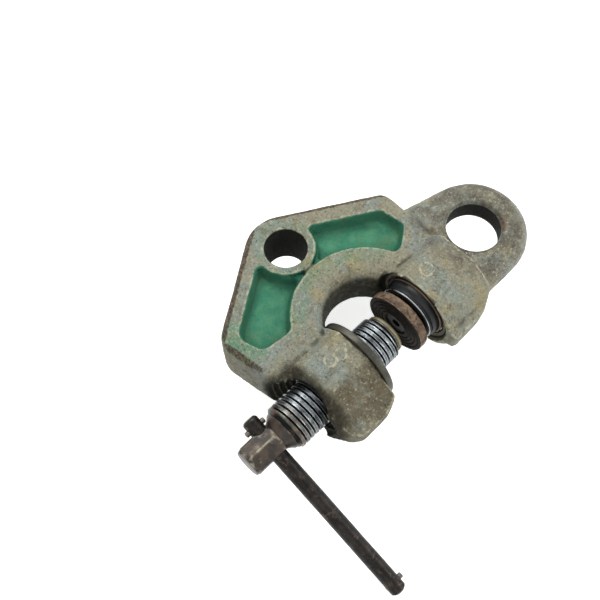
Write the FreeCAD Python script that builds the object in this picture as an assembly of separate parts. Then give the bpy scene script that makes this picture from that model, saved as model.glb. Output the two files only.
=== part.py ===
"""Screw clamp for lifting: forged C-frame with a lifting eye, a clamping screw
turned by a sliding bar, and a swivelling serrated jaw pad.

Millimetres.  The origin is the centre of the lifting eye.  X runs along the
clamping screw, from the handle (-X) to the jaw (+X).  The mouth of the C opens
towards -Y, and Z is the thickness of the forging, with the parting line at Z = 0.
"""
import FreeCAD, Part
import math
import os

V = FreeCAD.Vector
X_AXIS = V(1, 0, 0)
Z_AXIS = V(0, 0, 1)

# --- driving dimensions -------------------------------------------------------
SCREW_Y = -8.7            # the screw axis passes this far from the eye's centre
PLATE_HALF = 18.0         # half thickness of the I-shaped frame rim
WEB_HALF = 8.0            # half thickness of the web at the floor of the pockets
PLATE_EDGE = 5.0          # rounding of the rim's outer edges
BOSS_HALF = 24.0          # half height of the two bosses

EYE_HOLE_R = 17.5
EYE_HOLE_ROUND = 4.5      # rounding of the hole's rims
EYE_OUTER_R = 35.0
EYE_HALF = 10.5           # half thickness of the eye and its neck
EYE_ROUND = 9.2           # rounding of the eye's outer edges
NECK_ROOT = V(-26.0, 43.0, 0)   # the neck leaves the side of the plate here
NECK_FILLET = 8.0

PULL_HOLE = V(-99.3, 69.4, 0)
PULL_HOLE_R = 13.0
COLLAR_R = 18.8
CORNER_R = 25.5           # outer corner, concentric with the pulling hole

THROAT = V(-96.5, 3, 0)   # centre of the C's round back
THROAT_R = 25.0
THROAT_ROUND = 11.0       # the rim rolls over into the throat with this radius
C_RIM_R = 46.0            # edge between the C rim and the pockets
SADDLE_FLOOR = 14.0       # low bridge between the pockets, beside the collar
THROAT_JAW_Y = 16.0       # the throat keeps this clear beside the pad

BOSS_INNER_X = -118.5     # inner face of the screw boss
BOSS_SHOULDER_X = -145.5  # its top facet ends here and the nose tapers away
BOSS_END_X = -168.0
JAW_BACK_X = -27.0
JAW_FACE_X = -67.0        # front of the jaw boss
JAW_SIDE_BULGE = 3.6      # its slanted side is round, the screw boss's is flat
SPOT_FLOOR_X = -64.3      # round spot face, wide enough to break out through the facets
SPOT_FACE_R = 26.5

THREAD_R = 15.0           # M30 x 3.5
THREAD_PITCH = 3.5
THREAD_DEPTH = 1.7
THREAD_CREST = 2.0        # worn flat of each ridge, between narrow grooves
THREAD_FLANK = 0.5
BUSH_R = 19.0
BUSH_END_X = -150.0
FLANGE_R = 27.7
FLANGE_X = -114.0
MOUTH_R = 25.0            # wide end of the cone round the screw, at MOUTH_X
MOUTH_X = -166.5
DOWEL_R = 2.2
DOWEL_PITCH_R = 23.4

TIP_X = -89.8             # clamping face of the swivel tip
TIP_BACK_X = -92.6
TIP_R = 13.1
STEM_R = 7.0
STEM_END_X = -110.0
SNAP_X = -104.0
SNAP_WIRE = 0.7
WASHER_THICK = 0.75
SCREW_END_X = -93.4
THREAD_END_X = -178.5
HEAD_X = -184.5           # the cone between thread and head ends here
HEAD_END_X = -207.0
HEAD_FLATS = 18.0
BAR_X = -189.6
BAR_R = 5.15
BAR_DROP = 20.8           # degrees that the bar hangs below the frame's plane
BAR_SHORT = 18.5          # bar length beyond the axis on its short side
BAR_LONG = 114.5
PIN_R = 1.75
PIN_REACH = 7.2           # the pins stand out of the bar by this, from its axis
PIN_FLUSH = 5.2           # the long end's pin barely shows on the handle side
PIN_FROM_END = 6.2

PAD_FACE_X = -82.8
PAD_BACK_X = -75.6
PAD_R = 21.2
PAD_NECK_R = 10.0
PAD_NECK_X = -71.6
BALL_X = -58.0
BALL_R = 12.0
BALL_NECK_R = 8.0
BALL_FRONT_X = -70.6
LINER_R = 13.0            # outside of the plastic shell between ball and seat
BOLT_HEAD_R = 8.0
BOLT_R = 5.0
BOLT_THREAD_R = 4.0
SOCKET_R = 21.5           # bore of the jaw boss that holds the seat
SOCKET_END_X = -42.0
CIRCLIP_X = -61.6
CIRCLIP_THICK = 1.4
CIRCLIP_R = 22.6
BOOT_X = -63.2
BOOT_LIP_X = -73.0
GARTER_X = -72.0
GARTER_R = 18.75
BEAD_RING_X = -64.75
BEAD_RING_R = 20.9
RING_WIRE = 0.5

RUN = 0.08                # radial clearance of running fits
SPLIT_DEG = 24.0          # gap of the split rings


# --- small helpers --------------------------------------------------------------
def on_axis(x, y=0.0, z=0.0):
    """A point given from the screw axis."""
    return V(x, SCREW_Y + y, z)


def shaft(radius, x_from, x_to):
    """A cylinder on the screw axis."""
    low = min(x_from, x_to)
    return Part.makeCylinder(radius, abs(x_to - x_from), on_axis(low), X_AXIS)


def turned(profile):
    """A lathe-turned solid: (x, radius) points about the screw axis."""
    points = [on_axis(x, r) for x, r in profile]
    face = Part.Face(Part.makePolygon(points + points[:1]))
    return face.revolve(on_axis(0), X_AXIS, 360)


def line(start, end):
    return Part.LineSegment(start, end).toShape()


def corner_arc(previous, corner, following, radius):
    """The start, the end and the arc that round one corner of an outline."""
    before, after = (previous - corner).normalize(), (following - corner).normalize()
    half = before.getAngle(after) / 2
    start, end = (corner + way * (radius / math.tan(half)) for way in (before, after))
    inwards = (before + after).normalize()
    middle = corner + inwards * (radius / math.sin(half) - radius)
    return start, end, Part.Arc(start, middle, end).toShape()


def rounded_outline(corners):
    """A closed wire through (x, y, radius) corners, each rounded by its radius."""
    places = [V(x, y, 0) for x, y, radius in corners]
    rounds = [corner_arc(places[i - 1], place, places[(i + 1) % len(places)], corners[i][2])
              for i, place in enumerate(places)]
    edges = [arc for start, end, arc in rounds]
    edges += [line(rounds[i - 1][1], rounds[i][0]) for i in range(len(rounds))]
    return Part.Wire(Part.__sortEdges__(edges))


def slab(wire, half):
    """A flat plate of an outline, centred on the parting plane."""
    face = Part.Face(wire)
    face.translate(V(0, 0, -half))
    return face.extrude(V(0, 0, 2 * half))


def flat_edges(solid, half, keep):
    """Edges that lie on the top and bottom faces and satisfy keep(midpoint)."""
    chosen = []
    for edge in solid.Edges:
        low, high = edge.BoundBox.ZMin, edge.BoundBox.ZMax
        middle = edge.valueAt((edge.FirstParameter + edge.LastParameter) / 2)
        if high - low < 1e-6 and abs(abs(low) - half) < 1e-6 and keep(middle):
            chosen.append(edge)
    return chosen


def waisted_cutter(centre, radius, rounding, half):
    """A spool that cuts a round opening whose rims roll over outwards."""
    straight = half - rounding
    top = half + 6
    wide, eighth = radius + rounding, rounding * math.sqrt(0.5)

    def rolled(side):
        """The quarter arc from the straight bore out to the rim, above or below."""
        middle = V(wide - eighth, 0, side * (straight + eighth))
        return Part.Arc(V(radius, 0, side * straight), middle, V(wide, 0, side * half)).toShape()

    edges = [line(V(0, 0, -top), V(wide, 0, -top)), line(V(wide, 0, -top), V(wide, 0, -half)), rolled(-1),
             line(V(radius, 0, -straight), V(radius, 0, straight)), rolled(1),
             line(V(wide, 0, half), V(wide, 0, top)), line(V(wide, 0, top), V(0, 0, top)),
             line(V(0, 0, top), V(0, 0, -top))]
    spool = Part.Face(Part.Wire(edges)).revolve(V(0, 0, 0), Z_AXIS, 360)
    spool.translate(centre)
    return spool


def split_ring(inner, outer, x_from, thick, gap_direction):
    """A flat split ring on the screw axis, open at gap_direction degrees."""
    ring = shaft(outer, x_from, x_from - thick).cut(shaft(inner, x_from + 1, x_from - thick - 1))
    width = 2 * outer * math.sin(math.radians(SPLIT_DEG / 2))
    gap = Part.makeBox(thick + 2, outer + 2, width, V(x_from - thick - 1, 0, -width / 2))
    gap.rotate(V(0, 0, 0), X_AXIS, gap_direction)
    gap.translate(on_axis(0))
    return ring.cut(gap)


def wire_ring(ring_radius, wire_radius, x, sweep=360.0):
    """A ring of round wire on the screw axis."""
    ring = Part.makeTorus(ring_radius, wire_radius, V(0, 0, 0), X_AXIS, 0, 360, sweep)
    ring.translate(on_axis(x))
    return ring


# --- forged frame ---------------------------------------------------------------
def plate_blank():
    """The I-shaped back of the C, before its pockets are sunk."""
    outline = rounded_outline([
        (-163.5, -6.0, 4.0),
        (-165.9, 9.0, 25.0),
        (-173.1, 51.4, 16.0),
        (-100.6, 99.5, CORNER_R),
        (-25.6, 54.7, 10.0),
        (-25.6, 38.0, 4.0),
        (-28.0, -6.0, 4.0)])
    blank = slab(outline, PLATE_HALF)
    outer = flat_edges(blank, PLATE_HALF, lambda p: p.y > -5)
    return blank.makeFillet(PLATE_EDGE, outer)


def eye_blank():
    """The lifting eye with its neck, rounded outside and not yet holed."""
    touch = math.atan2(NECK_ROOT.y, NECK_ROOT.x) - math.acos(EYE_OUTER_R / NECK_ROOT.Length)
    tangent = V(EYE_OUTER_R * math.cos(touch), EYE_OUTER_R * math.sin(touch), 0)
    low, back_x = V(0, -EYE_OUTER_R, 0), NECK_ROOT.x - 12
    plate_side = V(NECK_ROOT.x, NECK_ROOT.y + 20, 0)
    leave, arrive, fillet = corner_arc(tangent, NECK_ROOT, plate_side, NECK_FILLET)
    back_top, back_low = V(back_x, arrive.y, 0), V(back_x, -EYE_OUTER_R, 0)
    wire = Part.Wire([line(back_low, low), Part.Arc(low, V(EYE_OUTER_R, 0, 0), tangent).toShape(),
                      line(tangent, leave), fillet, line(arrive, back_top), line(back_top, back_low)])
    blank = slab(wire, EYE_HALF)
    outer = flat_edges(blank, EYE_HALF, lambda p: p.x > back_x + 0.5 and p.y < arrive.y - 0.01)
    return blank.makeFillet(EYE_ROUND, outer)


def boss_bar(bulge):
    """A long bar of a boss's end view: flat top, slanted or bulging side, parting band."""
    edges, ends = [], []
    for side in (1, -1):
        back, crown, shoulder, waist, nose = [
            on_axis(BOSS_END_X, y, side * z)
            for y, z in ((24.0, 14.0), (14.0, BOSS_HALF), (-9.5, BOSS_HALF), (-29.3, 8.5), (-37.1, 5.0))]
        outwards = (waist - shoulder).cross(X_AXIS * side).normalize()
        middle = (shoulder + waist) * 0.5 + outwards * bulge
        slant = Part.Arc(shoulder, middle, waist).toShape() if bulge else line(shoulder, waist)
        edges += [line(back, crown), line(crown, shoulder), slant, line(waist, nose)]
        ends.append((back, nose))
    edges += [line(*pair) for pair in zip(*ends)]
    face = Part.Face(Part.Wire(Part.__sortEdges__(edges)))
    return face.extrude(V(JAW_BACK_X - BOSS_END_X, 0, 0))


def side_view(corners):
    """A plate standing on edge, from (x, z, radius) corners."""
    face = Part.Face(rounded_outline(corners))
    face.rotate(V(0, 0, 0), X_AXIS, 90)
    face.translate(V(0, 60, 0))
    return face.extrude(V(0, -120, 0))


def screw_boss():
    plan = slab(rounded_outline([
        (BOSS_INNER_X, 16.0, 1.0), (BOSS_INNER_X, -41.4, 2.0), (-127.5, -45.1, 8.0),
        (-149.0, -45.6, 5.0), (-154.3, -40.5, 5.0), (-160.0, -24.0, 8.0), (-167.3, 16.0, 1.0)]), 30)
    top = BOSS_HALF + 1
    side = side_view([
        (BOSS_INNER_X + 1, -top, 1.0), (BOSS_INNER_X + 1, top, 1.0), (BOSS_SHOULDER_X, top, 5.0),
        (-154.0, 20.5, 8.0), (BOSS_END_X, 4.5, 3.0), (BOSS_END_X, -4.5, 3.0),
        (-154.0, -20.5, 8.0), (BOSS_SHOULDER_X, -top, 5.0)])
    return boss_bar(0.0).common(plan).common(side)


def jaw_boss():
    plan = slab(rounded_outline([
        (JAW_BACK_X, 16.0, 1.0), (JAW_FACE_X, 16.0, 1.0), (JAW_FACE_X, -43.4, 3.0),
        (-44.0, -42.9, 10.0), (-37.0, -41.2, 8.0), (-28.3, -36.8, 2.0), (JAW_BACK_X, -15.0, 8.0)]), 30)
    return boss_bar(JAW_SIDE_BULGE).common(plan)


def throat_cutter():
    spool = waisted_cutter(THROAT, THROAT_R, THROAT_ROUND, PLATE_HALF)
    tall = 4 * PLATE_HALF
    mouth = Part.makeBox(JAW_FACE_X - BOSS_INNER_X, 60, tall, V(BOSS_INNER_X, THROAT.y - 60, -tall / 2))
    beside_pad = Part.makeBox(JAW_FACE_X - THROAT.x, THROAT_JAW_Y - THROAT.y + 10, tall,
                              V(THROAT.x, THROAT.y - 10, -tall / 2))
    return spool.fuse([mouth, beside_pad])


def pocket(corners, outside):
    """A sunk pocket: rounded outline less some discs, with tapered walls."""
    face = Part.Face(rounded_outline(corners))
    for centre, radius in outside:
        face = face.cut(Part.Face(Part.Wire(Part.Circle(centre, Z_AXIS, radius).toShape())))
    mouth = face.Faces[0].makeOffset2D(-3.0).makeOffset2D(3.0)
    floor = mouth.makeOffset2D(-2.6)
    up = mouth.OuterWire.copy()
    up.translate(V(0, 0, PLATE_HALF + 0.01))
    down = floor.OuterWire.copy()
    down.translate(V(0, 0, WEB_HALF))
    return Part.makeLoft([down, up], True, True)


def saddle_cutter():
    """The low bridge that joins the pockets' tips between the collar and the C rim."""
    face = Part.Face(Part.makePolygon([V(x, y, 0) for x, y in (
        (-113.0, 44.0), (-84.0, 44.0), (-84.0, 58.5), (-113.0, 58.5), (-113.0, 44.0))]))
    for centre, radius in ((THROAT, C_RIM_R), (PULL_HOLE, COLLAR_R)):
        face = face.cut(Part.Face(Part.Wire(Part.Circle(centre, Z_AXIS, radius).toShape())))
    face.translate(V(0, 0, SADDLE_FLOOR))
    return face.extrude(V(0, 0, PLATE_HALF - SADDLE_FLOOR + 1))


def pocket_cutters():
    around = [(THROAT, C_RIM_R), (PULL_HOLE, COLLAR_R)]
    right = pocket([(-88.0, 76.9, 2.0), (-37.5, 46.6, 5.0), (-35.0, 29.0, 5.0),
                    (-48.0, 20.0, 5.0), (-92.5, 20.0, 1.0), (-92.5, 55.0, 1.0)], around)
    left = pocket([(-112.0, 78.8, 2.0), (-161.5, 46.5, 7.0), (-156.5, 29.5, 7.0),
                   (-139.0, 27.5, 9.0), (-105.0, 31.5, 1.0), (-105.0, 55.0, 1.0)], around)
    both = []
    for cutter in (right, left, saddle_cutter()):
        both += [cutter, cutter.mirror(V(0, 0, 0), Z_AXIS)]
    return both


def frame_bores():
    tall = 4 * PLATE_HALF
    pull = Part.makeCylinder(PULL_HOLE_R, tall, PULL_HOLE - V(0, 0, tall / 2))
    chamfer = Part.makeCone(PULL_HOLE_R, PULL_HOLE_R + 1.2, 1.2, V(0, 0, PLATE_HALF - 1.2))
    chamfer.translate(PULL_HOLE)
    eye = waisted_cutter(V(0, 0, 0), EYE_HOLE_R, EYE_HOLE_ROUND, EYE_HALF)
    bush = shaft(BUSH_R, BOSS_INNER_X + 5, BUSH_END_X)
    mouth = turned([(BUSH_END_X, 0), (BUSH_END_X, BUSH_R), (MOUTH_X, MOUTH_R),
                    (BOSS_END_X - 4, MOUTH_R + 2), (BOSS_END_X - 4, 0)])
    spot = shaft(SPOT_FACE_R, JAW_FACE_X - 4, SPOT_FLOOR_X)
    socket = turned([(JAW_FACE_X, 0), (JAW_FACE_X, SOCKET_R + 0.7), (SPOT_FLOOR_X, SOCKET_R + 0.7),
                     (SPOT_FLOOR_X + 0.7, SOCKET_R), (SOCKET_END_X, SOCKET_R), (SOCKET_END_X, 0)])
    groove = shaft(CIRCLIP_R + 0.2, CIRCLIP_X + 0.05, CIRCLIP_X - CIRCLIP_THICK - 0.05)
    return [pull, chamfer, chamfer.mirror(V(0, 0, 0), Z_AXIS), eye, bush, mouth, spot, socket, groove,
            dowels()]


def frame():
    plate = plate_blank().cut(throat_cutter())
    plate = plate.cut(pocket_cutters())
    body = plate.fuse([eye_blank(), screw_boss(), jaw_boss()])
    return body.cut(frame_bores()).removeSplitter()


# --- threaded bush in the screw boss ------------------------------------------------
def dowels():
    pins = []
    for angle in (60, 240):
        a = math.radians(angle)
        centre = on_axis(FLANGE_X - 14, DOWEL_PITCH_R * math.cos(a), DOWEL_PITCH_R * math.sin(a))
        pins.append(Part.makeCylinder(DOWEL_R, 14, centre, X_AXIS))
    return Part.makeCompound(pins)


def screw_bush():
    bore = THREAD_R + RUN
    body = turned([(BUSH_END_X, BUSH_R), (BOSS_INNER_X, BUSH_R), (BOSS_INNER_X, FLANGE_R),
                   (FLANGE_X - 0.8, FLANGE_R), (FLANGE_X, FLANGE_R - 0.8), (FLANGE_X, bore + 1.5),
                   (FLANGE_X - 1.5, bore), (BUSH_END_X + 5.5, bore)])
    return body.cut(dowels())


# --- clamping screw, swivel tip and bar ----------------------------------------------
def bar_way():
    """Unit direction of the bar, from the axis to its long end."""
    drop = math.radians(BAR_DROP)
    return V(0, -math.cos(drop), -math.sin(drop))


def thread_profile():
    """Ridges of the thread as (x, radius), from the tip end to the head end."""
    points, root = [], THREAD_R - THREAD_DEPTH
    x = SCREW_END_X - 1.6
    while x - THREAD_PITCH > THREAD_END_X:
        rise, fall = x - THREAD_FLANK, x - THREAD_FLANK - THREAD_CREST
        points += [(x, root), (rise, THREAD_R), (fall, THREAD_R), (fall - THREAD_FLANK, root)]
        x -= THREAD_PITCH
    return points


def main_screw():
    root = THREAD_R - THREAD_DEPTH
    profile = [(SCREW_END_X, STEM_R + RUN), (SCREW_END_X, root - 0.8), (SCREW_END_X - 0.8, root)]
    profile += thread_profile()
    profile += [(THREAD_END_X, root), (THREAD_END_X, root + 0.6), (HEAD_X, HEAD_FLATS / 2 - 0.4),
                (HEAD_X, 0), (STEM_END_X - 1.0, 0), (STEM_END_X - 1.0, STEM_R + RUN)]
    spindle = turned(profile)
    corner = HEAD_FLATS / math.sqrt(3)
    ring = []
    for k in range(7):
        a = math.radians(60 * k + 30)
        ring.append(V(0, corner * math.cos(a), corner * math.sin(a)))
    head = Part.Face(Part.makePolygon(ring)).extrude(V(HEAD_X - HEAD_END_X, 0, 0))
    head.translate(on_axis(HEAD_END_X))
    head.rotate(on_axis(0), X_AXIS, BAR_DROP)
    bevel = turned([(HEAD_END_X, 0), (HEAD_END_X, HEAD_FLATS / 2 - 0.6),
                    (HEAD_END_X + 2.2, corner + 0.2), (HEAD_X - 2.0, corner + 0.2),
                    (HEAD_X, corner - 0.9), (HEAD_X, 0)])
    head = head.common(bevel)
    cross = Part.makeCylinder(BAR_R + 0.1, 60, on_axis(BAR_X) - bar_way() * 30, bar_way())
    groove = shaft(STEM_R + 1.05, SNAP_X + 1.0, SNAP_X - 1.0)
    return spindle.fuse(head).cut([cross, groove])


def screw_tip():
    return turned([(TIP_X, 0), (TIP_X, 4.0), (TIP_X - 0.8, 4.8), (TIP_X - 0.8, 7.6), (TIP_X, 8.4),
                   (TIP_X, TIP_R - 0.9), (TIP_X - 0.9, TIP_R), (TIP_BACK_X, TIP_R),
                   (TIP_BACK_X, STEM_R), (SNAP_X + 0.9, STEM_R), (SNAP_X + 0.9, STEM_R - 0.95),
                   (SNAP_X - 0.9, STEM_R - 0.95), (SNAP_X - 0.9, STEM_R), (STEM_END_X + 1, STEM_R),
                   (STEM_END_X, STEM_R - 1), (STEM_END_X, 0)])


def thrust_washer():
    outer = shaft(TIP_R - 0.5, SCREW_END_X, SCREW_END_X + WASHER_THICK)
    return outer.cut(shaft(STEM_R + 0.3, SCREW_END_X - 1, SCREW_END_X + 2))


def tommy_bar():
    way = bar_way()
    blank = Part.makeCylinder(BAR_R, BAR_SHORT + BAR_LONG, on_axis(BAR_X) - way * BAR_SHORT, way)
    ends = [e for e in blank.Edges if isinstance(e.Curve, Part.Circle)]
    return blank.makeChamfer(1.1, ends).cut(bar_end_pins())


def bar_end_pins():
    """Driven across the bar near its ends, so that it can't leave the head."""
    pins = []
    for along, back in ((PIN_FROM_END - BAR_SHORT, PIN_REACH), (BAR_LONG - PIN_FROM_END, PIN_FLUSH)):
        start = on_axis(BAR_X - back) + bar_way() * along
        pins.append(Part.makeCylinder(PIN_R, back + PIN_REACH, start, X_AXIS))
    return Part.makeCompound(pins)


# --- swivelling jaw pad ----------------------------------------------------------------
def swivel_pad():
    """Serrated disc: rings on its face bite into the plate."""
    profile = [(PAD_FACE_X + 4.9, BOLT_R + RUN), (PAD_FACE_X + 4.9, BOLT_HEAD_R + RUN),
               (PAD_FACE_X, BOLT_HEAD_R + RUN)]
    for radius in (10.0, 12.6, 15.2, 17.8):
        profile += [(PAD_FACE_X, radius), (PAD_FACE_X + 1.1, radius + 0.9), (PAD_FACE_X, radius + 1.8)]
    profile += [(PAD_FACE_X, PAD_R - 0.4), (PAD_FACE_X + 0.4, PAD_R), (PAD_BACK_X - 1.0, PAD_R),
                (PAD_BACK_X, PAD_R - 1.0), (PAD_BACK_X, PAD_NECK_R), (PAD_NECK_X, PAD_NECK_R),
                (PAD_NECK_X, BOLT_R + RUN)]
    return turned(profile)


def pad_bolt():
    head = PAD_FACE_X + 4.8
    bolt = turned([(head - 3.6, 0), (head - 3.6, BOLT_HEAD_R - 0.8), (head - 2.8, BOLT_HEAD_R),
                   (head, BOLT_HEAD_R), (head, BOLT_R), (BALL_FRONT_X, BOLT_R),
                   (BALL_FRONT_X, BOLT_THREAD_R), (BALL_X, BOLT_THREAD_R), (BALL_X, 0)])
    socket = Part.makeCylinder(3.0, 2.4, on_axis(head - 3.7), X_AXIS)
    return bolt.cut(socket)


def liner_hollow():
    return Part.makeSphere(LINER_R + RUN, on_axis(BALL_X))


def pad_ball():
    ball = Part.makeSphere(BALL_R, on_axis(BALL_X))
    neck = shaft(BALL_NECK_R, BALL_X, BALL_FRONT_X)
    return ball.fuse(neck).cut(shaft(BOLT_THREAD_R, BALL_X, BALL_FRONT_X - 1))


def ball_liner():
    """Plastic shell that the ball turns in, open at the front for the neck."""
    shell = Part.makeSphere(LINER_R, on_axis(BALL_X)).cut(Part.makeSphere(BALL_R + RUN, on_axis(BALL_X)))
    return shell.common(shaft(LINER_R + 1, BALL_X - 3.2, BALL_X + 9.5))


def pad_seat():
    return shaft(SOCKET_R, SOCKET_END_X, BALL_X + 0.05).cut(liner_hollow())


def seat_retainer():
    return shaft(SOCKET_R, BALL_X - 0.05, CIRCLIP_X + 0.1).cut(liner_hollow())


def retaining_circlip():
    return split_ring(19.2, CIRCLIP_R, CIRCLIP_X, CIRCLIP_THICK, 150)


def pad_washer():
    """Hardened washer between the ball's neck and the pad."""
    return shaft(9.5, PAD_NECK_X + 0.05, BALL_FRONT_X - 0.05).cut(shaft(BOLT_R + RUN, -75, -65))


def dust_boot():
    """Rubber boot that closes the gap between the jaw boss and the pad."""
    return turned([(BOOT_X, 17.6), (BOOT_X, SOCKET_R - 0.1), (BOOT_X - 0.9, SOCKET_R - 0.1),
                   (BOOT_X - 0.9, BEAD_RING_R - RING_WIRE), (BOOT_X - 2.8, 20.3),
                   (BOOT_X - 5.3, 20.1), (GARTER_X + 1.6, 19.6), (GARTER_X + 0.7, 19.0),
                   (GARTER_X + 0.5, GARTER_R - RING_WIRE), (GARTER_X - 0.5, GARTER_R - RING_WIRE),
                   (GARTER_X - 0.7, 18.6), (BOOT_LIP_X, 18.2), (BOOT_LIP_X, 16.6),
                   (BOOT_X - 5.3, 17.4)])


PARTS = {
    "frame": frame,
    "screw_bush": screw_bush,
    "bush_dowels": dowels,
    "main_screw": main_screw,
    "thrust_washer": thrust_washer,
    "screw_tip": screw_tip,
    "tip_snap_ring": lambda: wire_ring(STEM_R + 0.1, SNAP_WIRE, SNAP_X, 360 - SPLIT_DEG),
    "tommy_bar": tommy_bar,
    "bar_end_pins": bar_end_pins,
    "swivel_pad": swivel_pad,
    "pad_bolt": pad_bolt,
    "pad_ball": pad_ball,
    "pad_seat": pad_seat,
    "seat_retainer": seat_retainer,
    "retaining_circlip": retaining_circlip,
    "ball_liner": ball_liner,
    "pad_washer": pad_washer,
    "dust_boot": dust_boot,
    "boot_bead_ring": lambda: wire_ring(BEAD_RING_R, RING_WIRE, BEAD_RING_X),
    "boot_garter_ring": lambda: wire_ring(GARTER_R, RING_WIRE, GARTER_X),
}

os.makedirs("parts", exist_ok=True)
for name, make in PARTS.items():
    shape = make()
    box = shape.BoundBox
    print(f"{name:18s} solids {len(shape.Solids)} valid {shape.isValid()} volume {shape.Volume:9.0f} "
          f"x {box.XMin:.1f}..{box.XMax:.1f} y {box.YMin:.1f}..{box.YMax:.1f} "
          f"z {box.ZMin:.1f}..{box.ZMax:.1f}")
    shape.exportStep(f"parts/{name}.step")
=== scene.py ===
# %% [markdown]
# # A screw lifting clamp
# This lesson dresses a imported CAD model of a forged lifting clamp.  The CAD part gives every
# piece its size, its place and the body it moves with.  Blender adds what a machine shop and
# years of use add: a forging's soft corners, a true helical thread, paint, rust and polish.
# All lengths are metres, so a short constant turns millimetres into them.

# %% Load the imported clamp
import bpy
import bmesh
import math
import numpy as np
from mathutils import Matrix, Vector, noise


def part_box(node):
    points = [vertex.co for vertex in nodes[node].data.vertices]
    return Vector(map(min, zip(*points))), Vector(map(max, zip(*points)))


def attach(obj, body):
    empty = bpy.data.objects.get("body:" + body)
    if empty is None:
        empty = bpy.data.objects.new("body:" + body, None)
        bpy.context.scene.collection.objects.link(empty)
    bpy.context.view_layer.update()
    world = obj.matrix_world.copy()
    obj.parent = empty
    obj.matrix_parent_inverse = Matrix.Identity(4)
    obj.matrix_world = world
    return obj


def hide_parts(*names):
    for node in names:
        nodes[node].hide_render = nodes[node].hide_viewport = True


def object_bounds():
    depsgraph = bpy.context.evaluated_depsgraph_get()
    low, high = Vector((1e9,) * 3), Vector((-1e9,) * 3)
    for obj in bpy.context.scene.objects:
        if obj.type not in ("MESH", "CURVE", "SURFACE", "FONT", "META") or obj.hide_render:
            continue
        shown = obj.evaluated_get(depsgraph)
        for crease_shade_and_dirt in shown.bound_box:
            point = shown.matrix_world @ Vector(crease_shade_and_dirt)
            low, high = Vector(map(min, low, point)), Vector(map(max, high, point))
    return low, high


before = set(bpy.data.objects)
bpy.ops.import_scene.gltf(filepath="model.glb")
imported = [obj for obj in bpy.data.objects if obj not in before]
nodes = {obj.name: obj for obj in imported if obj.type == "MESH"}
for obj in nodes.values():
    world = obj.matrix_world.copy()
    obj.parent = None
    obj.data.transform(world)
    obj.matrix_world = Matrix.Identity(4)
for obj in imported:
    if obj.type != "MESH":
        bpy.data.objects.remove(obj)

MM = 0.001
WELD, SLIVER = 1e-6, 1e-7     # metres: points closer than WELD join, edges under SLIVER go
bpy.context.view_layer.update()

# %% [markdown]
# Everything that turns or clamps sits on one line, the screw axis.  It is read back from the
# CAD pieces rather than typed again, so the two models can't drift apart.

# %% The screw axis
bush_low, bush_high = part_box("screw_bush")
AXIS_Y = (bush_low.y + bush_high.y) / 2
tip_low, tip_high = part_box("screw_tip")
screw_low, screw_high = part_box("main_screw")
print("screw axis y", round(AXIS_Y / MM, 2), "mm")


def finish_mesh(name, bm, smooth_angle=40.0):
    """Turn a bmesh into an object, shaded smooth except across sharp angles."""
    bmesh.ops.remove_doubles(bm, verts=bm.verts, dist=WELD)
    bmesh.ops.recalc_face_normals(bm, faces=bm.faces)
    mesh = bpy.data.meshes.new(name)
    bm.to_mesh(mesh)
    bm.free()
    piece = bpy.data.objects.new(name, mesh)
    bpy.context.scene.collection.objects.link(piece)
    mesh.shade_smooth()
    mesh.set_sharp_from_angle(angle=math.radians(smooth_angle))
    return piece


def lathe_rows(profile, around):
    """Rings of points for (x, radius) millimetre pairs, turned about the screw axis."""
    angles = [2 * math.pi * j / around for j in range(around)]
    return [[Vector((x * MM, AXIS_Y + r * MM * math.cos(a), r * MM * math.sin(a))) for a in angles]
            for x, r in profile]


def skin_rows(bm, rows, closed_ends=True, loop=False):
    """Join rows of points into quads; each row is itself a closed ring."""
    rings = [[bm.verts.new(p) for p in row] for row in rows]
    for low, high in zip(rings, rings[1:] + (rings[:1] if loop else [])):
        for j in range(len(low)):
            k = (j + 1) % len(low)
            bm.faces.new((low[j], low[k], high[k], high[j]))
    if closed_ends and not loop:
        bm.faces.new(rings[0])
        bm.faces.new(rings[-1])
    return rings


def apply_modifiers(piece):
    """Replace the mesh by what its modifiers make of it."""
    graph = bpy.context.evaluated_depsgraph_get()
    made = bpy.data.meshes.new_from_object(piece.evaluated_get(graph))
    piece.modifiers.clear()
    piece.data = made


# %% [markdown]
# ## The forged frame
# A drop forging has no sharp edges: metal flows into a die with rounded corners, and the draft
# of the die walls makes every side slope.  Bevelling each CAD edge would need dozens of
# settings and fails where many faces meet.  Voxel remeshing is simpler.  It rebuilds the solid
# as an even skin of small quads, and relaxing that skin rounds every edge and fills every
# crease, just as the die does.  The even skin also carries fine relief.

# %% Remesh and relax the forging
forging = bpy.data.objects.new("forged_frame", nodes["frame"].data.copy())
bpy.context.scene.collection.objects.link(forging)
forging.data.materials.clear()
voxels = forging.modifiers.new("Skin", "REMESH")
voxels.mode = "VOXEL"
voxels.voxel_size = 0.95 * MM
voxels.adaptivity = 0.0
apply_modifiers(forging)
print("forging skin:", len(forging.data.vertices), "points")


def read_points(mesh):
    co = np.empty(len(mesh.vertices) * 3, np.float32)
    mesh.vertices.foreach_get("co", co)
    return co.reshape(-1, 3).astype(float)


def write_points(mesh, co):
    mesh.vertices.foreach_set("co", co.astype(np.float32).ravel())
    mesh.update()


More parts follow.
